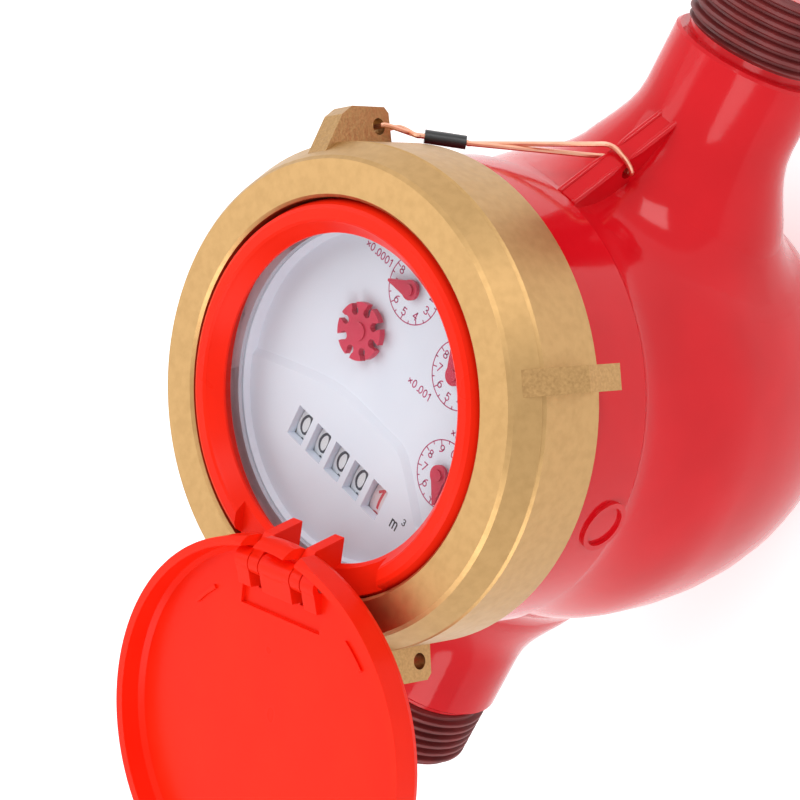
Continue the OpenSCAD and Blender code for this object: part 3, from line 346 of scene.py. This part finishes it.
finishOf = {"cast_red": "redEnamel", "brass": "plainBrass", "red_plastic": "redMoulding",
            "white_plastic": "whiteMoulding", "crimson_plastic": "crimsonTint", "red_roller": "rollerRed",
            "steel": "groundSteel", "magnet": "ferrite", "rubber": "gasketRubber",
            "pale_rubber": "paleRubber", "glass": "clearGlass", "copper_wire": "bareCopper",
            "seal_plastic": "sealBlack"}
finishOfNode = {"cover_ring": "turnedBrass", "number_roller_1": "rollerWhite",
                "number_roller_2": "rollerWhite", "number_roller_3": "rollerWhite",
                "number_roller_4": "rollerWhite"}
for part in frame["record"]["subparts"]:
    finish = finishOfNode.get(part["node"], finishOf[part["material_slot"]])
    node = nodes[part["node"]]
    node.data.materials.clear()
    node.data.materials.append(made[finish])
print("finishes on the nodes:", len(made))


# mesh helpers
def gridFaces(rows, columns):
    # quads of a rows by columns grid whose columns run round
    row, column = np.meshgrid(np.arange(rows - 1), np.arange(columns), indexing="ij")
    ahead = (column + 1) % columns
    here, above = row*columns, (row + 1)*columns
    return np.stack([here + column, here + ahead, above + ahead, above + column], -1).reshape(-1, 4)


def gather(parts):
    # several meshes as one
    starts = np.cumsum([0] + [len(points) for points, _ in parts])[:-1]
    faces = [faces + start for (_, faces), start in zip(parts, starts)]
    return np.concatenate([points for points, _ in parts]), np.concatenate(faces)


def makePiece(name, points, faces, finish, body, slotName, smooth):
    # a mesh with soft shading up to the smooth angle, riding on its body
    mesh = bpy.data.meshes.new(name)
    mesh.from_pydata(points*mm, [], faces.tolist())
    mesh.validate()
    mesh.shade_smooth()
    mesh.set_sharp_from_angle(angle=np.radians(smooth))
    mesh.materials.append(made[finish])
    piece = bpy.data.objects.new(name, mesh)
    scene.collection.objects.link(piece)
    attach(piece, body)
    return piece


def turnSteps(count):
    # angles of a full turn in equal steps
    return np.linspace(0, fullTurn, count, endpoint=False)


# cast fillets, where each pipe grows out of the bowl
pipeRoot = {"axisHeight": 41.0, "foot": 22.0, "bowl": 42.5, "bowlHeight": 45.0, "shoulder": 47.0,
            "waist": 38.6, "waistHeight": 70.5, "riseSteps": 11, "fallSteps": 9,
            "root": 21.5, "rootAt": 34.5, "pipe": 14.0, "pipeAt": 56.5,
            "search": (20.0, 60.0), "halvings": 40, "reach": 6.5, "sink": 0.8,
            "across": 12, "round": 160, "smooth": 60}


def cosineStep(start, stop, share):
    # from start to stop along half a wave of a cosine
    return start + (stop - start)*(1 - np.cos(np.pi*share))/2


def bowlRadius(height, setup):
    # a quarter ellipse from the foot to the widest place, then a cosine step in to the waist
    rise = np.radians(np.linspace(0, 90, setup["riseSteps"]))
    fall = np.linspace(0, 1, setup["fallSteps"])
    heights = np.concatenate([setup["bowlHeight"]*(1 - np.cos(rise)),
                              setup["shoulder"] + (setup["waistHeight"] - setup["shoulder"])*fall])
    radii = np.concatenate([setup["foot"] + (setup["bowl"] - setup["foot"])*np.sin(rise),
                            cosineStep(setup["bowl"], setup["waist"], fall)])
    return np.interp(height, heights, radii)


def pipeRadius(along, setup):
    # a cosine step from the root of the pipe to its plain part
    share = np.linspace(0, 1, setup["fallSteps"])
    places = setup["rootAt"] + (setup["pipeAt"] - setup["rootAt"])*share
    return np.interp(along, places, cosineStep(setup["root"], setup["pipe"], share))


def commonCorner(turn, setup):
    # how far out the pipe leaves the bowl at each turn about its axis, by halving the search range
    low, high = (np.full(turn.shape, end) for end in setup["search"])
    for _ in range(setup["halvings"]):
        middle = (low + high)/2
        radius = pipeRadius(middle, setup)
        wall = bowlRadius(setup["axisHeight"] + radius*np.sin(turn), setup)
        outside = np.hypot(middle, radius*np.cos(turn)) > wall
        low, high = np.where(outside, low, middle), np.where(outside, middle, high)
    return high


def castFillet(name, side, setup):
    # at each turn about the pipe, a quadratic curve from the pipe to the bowl that leans on their
    # common corner and is closed inside the wall
    turn = turnSteps(setup["round"])
    out = commonCorner(turn, setup)
    reach = setup["reach"]
    corner = np.stack([out, pipeRadius(out, setup)], -1)
    onPipe = np.stack([out + reach, pipeRadius(out + reach, setup)], -1)
    wide = corner[:, 1] + reach
    wall = bowlRadius(setup["axisHeight"] + wide*np.sin(turn), setup)
    onBowl = np.stack([np.sqrt(wall**2 - (wide*np.cos(turn))**2), wide], -1)
    share = np.linspace(0, 1, setup["across"])[None, :, None]
    skin = ((1 - share)**2*onPipe[:, None] + 2*share*(1 - share)*corner[:, None]
            + share**2*onBowl[:, None])
    inward = corner - (onPipe + onBowl)/2
    inward *= setup["sink"]/np.linalg.norm(inward, axis=1, keepdims=True)
    loop = np.concatenate([skin, (corner + inward)[:, None]], 1)
    along, radius = loop[..., 0], loop[..., 1]
    turn = turn[:, None]
    points = np.stack([along*side, radius*np.cos(turn)*side,
                       setup["axisHeight"] + radius*np.sin(turn)], -1).reshape(-1, 3)
    faces = gridFaces(setup["round"] + 1, loop.shape[1]) % len(points)
    makePiece(name, points, faces, "redEnamel", "housing", "cast_red", setup["smooth"])


castFillet("inletFillet", -1, pipeRoot)
castFillet("outletFillet", 1, pipeRoot)

# raised rims along both edges of the web that holds the seal wire; the path is in X and Z
webEdge = {"path": [(37.0, 71.0), (39.5, 71.0), (55.0, 55.0), (56.2, 53.76)], "half": 1.75, "drop": 0.2,
           "radius": 0.6, "wireAt": 13.9, "wireGap": 2.2, "dip": 0.75, "along": 140, "round": 16,
           "smooth": 60}


def webRims(setup):
    # a round bar along each edge: radius = full radius less a bell-shaped dip where the wire crosses
    path = np.array(setup["path"])
    lengths = np.concatenate([[0], np.cumsum(np.linalg.norm(np.diff(path, axis=0), axis=1))])
    run = np.linspace(0, lengths[-1], setup["along"])
    line = np.stack([np.interp(run, lengths, path[:, 0]), np.interp(run, lengths, path[:, 1])], -1)
    way = np.gradient(line, axis=0)
    way /= np.linalg.norm(way, axis=1, keepdims=True)
    out = np.stack([-way[:, 1], way[:, 0]], -1)
    line = line - setup["drop"]*out
    bell = np.exp(-((run - setup["wireAt"])/setup["wireGap"])**2)
    radius = setup["radius"]*(1 - setup["dip"]*bell)[:, None]
    turn = turnSteps(setup["round"])[None, :]
    high, side = radius*np.cos(turn), radius*np.sin(turn)
    step = np.arange(setup["round"]//2 - 1)
    cap = np.stack([step, step + 1, setup["round"] - 2 - step, setup["round"] - 1 - step], -1)
    last = (setup["along"] - 1)*setup["round"]
    wall = gridFaces(setup["along"], setup["round"])[:, ::-1]
    faces = np.concatenate([wall, cap, cap[:, ::-1] + last])
    bars = []
    for half in (-setup["half"], setup["half"]):
        points = np.stack([line[:, :1] + out[:, :1]*high, half + side, line[:, 1:] + out[:, 1:]*high], -1)
        bars.append((points.reshape(-1, 3), faces))
    makePiece("webRims", *gather(bars), "redEnamel", "housing", "cast_red", setup["smooth"])


webRims(webEdge)

# pipe ends: the casting without its plain thread cylinders, and a cut thread over each core
pipeEnds = {"start": 70.0, "end": 82.5, "axisHeight": 41.0, "outer": 13.2, "core": 12.1, "inner": 11.2,
            "pitch": 1.814, "crest": (1.5, 0.2), "runIn": 0.8, "runOut": 1.4, "margins": (0.02, 0.05),
            "near": 0.05, "under": 0.1, "mergeDigits": 4, "along": 150, "round": 120,
            "castSmooth": 32, "smooth": 60}


def castingWithCores(setup):
    # a merged copy of the casting, drawn in to the thread's core past the start of each thread
    source = nodes["body"].data
    points = np.zeros(len(source.vertices)*3, np.float32)
    source.vertices.foreach_get("co", points)
    corners = np.zeros(len(source.loops), np.int32)
    source.loops.foreach_get("vertex_index", corners)
    rounded = np.round(points.reshape(-1, 3)/mm, setup["mergeDigits"])
    unique, where = np.unique(rounded, axis=0, return_inverse=True)
    faces = where.ravel()[corners].reshape(-1, 3)
    real = (faces != np.roll(faces, -1, axis=1)).all(axis=1)
    high = unique[:, 2] - setup["axisHeight"]
    radius = np.hypot(unique[:, 1], high)
    atEnd = np.abs(unique[:, 0]) > setup["start"] - setup["near"]
    atThread = atEnd & (radius > setup["core"] - setup["near"])
    drawn = np.where(atThread, (setup["core"] - setup["under"])/np.maximum(radius, 1e-6), 1.0)
    unique[:, 1] *= drawn
    unique[:, 2] = setup["axisHeight"] + high*drawn
    piece = makePiece("castBody", unique, faces[real], "redEnamel", "housing", "cast_red",
                      setup["castSmooth"])
    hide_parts("body")


def cutThread(name, side, setup):
    # radius = core + depth times a rounded ridge of (distance/pitch - turn), faded out at both ends
    first, last = setup["start"] + setup["margins"][0], setup["end"] - setup["margins"][1]
    along = np.linspace(first, last, setup["along"])[:, None]
    turn = turnSteps(setup["round"])[None, :]
    gain, cut = setup["crest"]
    ridge = 0.5 + 0.5*np.cos(fullTurn*((along - setup["start"])/setup["pitch"] - turn/fullTurn))
    ridge = np.clip(gain*ridge - cut, 0, 1)
    fade = (np.clip((along - setup["start"])/setup["runIn"], 0, 1)
            * np.clip((setup["end"] - along)/setup["runOut"], 0, 1))
    radius = setup["core"] + (setup["outer"] - setup["core"])*ridge*fade
    inside = np.full((1, setup["round"]), setup["inner"])
    radius = np.concatenate([inside, radius, inside, inside])
    along = np.concatenate([along[:1], along, along[-1:], along[:1]])
    across = np.broadcast_to(along*side, radius.shape)
    points = np.stack([across, radius*np.cos(turn)*side,
                       setup["axisHeight"] + radius*np.sin(turn)], -1).reshape(-1, 3)
    faces = gridFaces(len(radius), setup["round"])
    # the threads' dark red is painted shade
    makePiece(name, points, faces, "shadedThreadRed", "housing", "cast_red", setup["smooth"])


castingWithCores(pipeEnds)
cutThread("inletThread", -1, pipeEnds)
cutThread("outletThread", 1, pipeEnds)
print("casting and threads made")

# printed numerals: each is a few strokes in a box one high; widths and gaps are shares of the height
lettering = {"width": 0.62, "spacing": 0.80, "dotSpacing": 0.42, "overhang": 0.4, "steps": 7, "smooth": 30}


def bend(cx, cy, rx, ry, first, last, count=22):
    # points of an ellipse's arc, from the first to the last angle
    angle = np.radians(np.linspace(first, last, count))
    return np.stack([cx + rx*np.cos(angle), cy + ry*np.sin(angle)], -1)


def straight(*ends):
    # points along the line from end to end
    ends = np.array(ends, float)
    steps = np.linspace(0, 1, lettering["steps"])[:, None]
    return np.concatenate([a + (b - a)*steps for a, b in zip(ends[:-1], ends[1:])])


def join(first, second):
    # two lines as one, without the second's first point
    return np.concatenate([first, second[1:]])


boxCorner = np.array([lettering["width"], 1.0])
sixRing = bend(0.31, 0.31, 0.27, 0.28, 0, 360, 30)
sixStem = bend(0.60, 0.31, 0.57, 0.64, 180, 100, 16)
strokesOf = {
    "0": [bend(0.31, 0.5, 0.27, 0.47, 90, 450, 36)],
    "1": [straight((0.34, 0.02), (0.34, 0.97)), straight((0.34, 0.97), (0.12, 0.76))],
    "2": [join(bend(0.31, 0.70, 0.26, 0.27, 170, -38), straight((0.50, 0.52), (0.06, 0.04))),
          straight((0.04, 0.04), (0.59, 0.04))],
    "3": [bend(0.29, 0.74, 0.24, 0.23, 150, -90), bend(0.29, 0.27, 0.28, 0.24, 90, -150)],
    "4": [straight((0.46, 0.02), (0.46, 0.97)), straight((0.46, 0.97), (0.03, 0.28)),
          straight((0.02, 0.28), (0.60, 0.28))],
    "5": [straight((0.54, 0.96), (0.12, 0.96)), straight((0.12, 0.97), (0.09, 0.52)),
          bend(0.29, 0.32, 0.28, 0.29, 132, -150)],
    "6": [sixRing, sixStem],
    "7": [straight((0.04, 0.96), (0.58, 0.96)), straight((0.58, 0.97), (0.22, 0.02))],
    "8": [bend(0.31, 0.74, 0.22, 0.23, 0, 360, 30), bend(0.31, 0.27, 0.27, 0.24, 0, 360, 30)],
    "9": [boxCorner - sixRing, boxCorner - sixStem],
    "x": [straight((0.09, 0.20), (0.53, 0.64)), straight((0.09, 0.64), (0.53, 0.20))],
    ".": [straight((0.24, 0.06), (0.38, 0.06))],
    "m": [straight((0.02, 0.0), (0.02, 0.62)),
          join(bend(0.17, 0.44, 0.15, 0.17, 180, 0, 12), straight((0.32, 0.44), (0.32, 0.0))),
          join(bend(0.47, 0.44, 0.15, 0.17, 180, 0, 12), straight((0.62, 0.44), (0.62, 0.0)))],
}


def inkStroke(line, width, depth):
    # a flat bar of the given width and depth carried along the line, with both ends closed
    way = np.gradient(line, axis=0)
    way /= np.maximum(np.linalg.norm(way, axis=1, keepdims=True), 1e-9)
    line = line.copy()
    line[0] -= way[0]*width*lettering["overhang"]
    line[-1] += way[-1]*width*lettering["overhang"]
    side = np.stack([-way[:, 1], way[:, 0]], -1)*width/2
    flat = np.stack([line + side, line - side, line - side, line + side], 1)
    lift = np.broadcast_to(np.array([0, 0, depth, depth]), flat.shape[:2])
    points = np.concatenate([flat, lift[..., None]], -1).reshape(-1, 3)
    cap = np.array([[0, 1, 2, 3]])
    wall = gridFaces(len(line), 4)[:, ::-1]
    return points, np.concatenate([wall, cap, cap[:, ::-1] + 4*(len(line) - 1)])


def inkText(text, height, width, depth):
    # strokes of a line of numerals, centred on its own middle
    parts = []
    gaps = [(lettering["dotSpacing"] if sign == "." else lettering["spacing"])*height for sign in text]
    advance = np.cumsum([0] + gaps)
    total = advance[-1] - (lettering["spacing"] - lettering["width"])*height
    for sign, start in zip(text, advance):
        corner = np.array([start - total/2, -height/2])
        parts += [inkStroke(line*height + corner, width, depth) for line in strokesOf[sign]]
    return gather(parts)


def onDial(mesh, place, level):
    # the text's right is -Y and its top is +X, so that it reads right from the counter's side
    points, faces = mesh
    return np.stack([place[0] + points[:, 1], place[1] - points[:, 0], level + points[:, 2]], -1), faces


# number rollers: ten numerals round each drum
rollerInk = {"axisX": -13.05, "axisZ": 88.4, "radius": 7.4, "rows": [9.65, 4.45, -0.75, -5.95, -11.15],
             "reading": [0, 0, 0, 0, 1], "numerals": 10, "height": 3.7, "stroke": 0.50, "depth": 0.03,
             "sink": 0.01}


def inkRoller(index, setup):
    # the height of a numeral runs round the drum: angle = -36 degrees for each numeral + height/radius
    parts = []
    for numeral in range(setup["numerals"]):
        points, faces = inkText(str(numeral), setup["height"], setup["stroke"], setup["depth"])
        steps = numeral - setup["reading"][index]
        angle = np.radians(-360/setup["numerals"])*steps + points[:, 1]/setup["radius"]
        reach = setup["radius"] - setup["sink"] + points[:, 2]
        across = setup["rows"][index] - points[:, 0]
        points = np.stack([setup["axisX"] + reach*np.sin(angle), across,
                           setup["axisZ"] + reach*np.cos(angle)], -1)
        parts.append((points, faces))
    red = index == len(setup["rows"]) - 1
    makePiece(f"rollerNumerals{index + 1}", *gather(parts), "printRed" if red else "printDark",
              f"number_roller_{index + 1}", "red_roller" if red else "seal_plastic", lettering["smooth"])


for index in range(len(rollerInk["rows"])):
    inkRoller(index, rollerInk)

# pointer dials: a fine circle with ticks and numerals round each pointer, and the value of one mark
dialInk = {"level": 96.49, "depth": 0.03,
           "centres": [(20.7673, 0.7252), (14.7029, -14.6844), (-0.6990, -20.7682)],
           "circle": 5.7, "circlePoints": 97, "line": 0.19, "ticks": 20, "tick": 0.8, "halfTick": 0.55,
           "numerals": 10, "numeralAt": 4.2, "numeral": 1.4, "stroke": 0.21,
           "values": ["x0.0001", "x0.001", "x0.01"], "valueHeight": 1.35,
           "valueAt": [(21.5, 10.4), (8.0, -9.0), (6.4, -20.8)]}


def clockWay(share):
    # the way from a dial's centre to a share of its turn, clockwise from the top
    angle = np.radians(360*share)
    return np.array([np.sin(angle), np.cos(angle)])


def inkPointerDial(index, setup):
    # every other tick is shorter, and the numerals stand upright inside the circle
    circle, depth, level = setup["circle"], setup["depth"], setup["level"]
    parts = [inkStroke(bend(0, 0, circle, circle, 0, 360, setup["circlePoints"]), setup["line"], depth)]
    for step in range(setup["ticks"]):
        way = clockWay(step/setup["ticks"])
        inner = circle - setup["tick"]*(1.0 if step % 2 == 0 else setup["halfTick"])
        parts.append(inkStroke(straight(way*inner, way*circle), setup["line"], depth))
    for numeral in range(setup["numerals"]):
        points, faces = inkText(str(numeral), setup["numeral"], setup["stroke"], depth)
        points[:, :2] += clockWay(numeral/setup["numerals"])*setup["numeralAt"]
        parts.append((points, faces))
    value = inkText(setup["values"][index], setup["valueHeight"], setup["stroke"], depth)
    marks = [onDial(gather(parts), setup["centres"][index], level),
             onDial(value, setup["valueAt"][index], level)]
    makePiece(f"pointerDial{index + 1}", *gather(marks), "printRose", "housing", "crimson_plastic",
              lettering["smooth"])


for index in range(len(dialInk["centres"])):
    inkPointerDial(index, dialInk)

# unit beside the counter, on the raised field
unitInk = {"level": 97.19, "depth": 0.03, "place": (-13.4, -16.9), "height": 2.2, "stroke": 0.28,
           "smallAt": (-12.1, -18.6), "smallHeight": 1.15, "smallStroke": 0.196}


def inkUnit(setup):
    letter = inkText("m", setup["height"], setup["stroke"], setup["depth"])
    power = inkText("3", setup["smallHeight"], setup["smallStroke"], setup["depth"])
    parts = [onDial(letter, setup["place"], setup["level"]), onDial(power, setup["smallAt"], setup["level"])]
    makePiece("unitMark", *gather(parts), "printDark", "housing", "seal_plastic", lettering["smooth"])


inkUnit(unitInk)
print("numerals made")
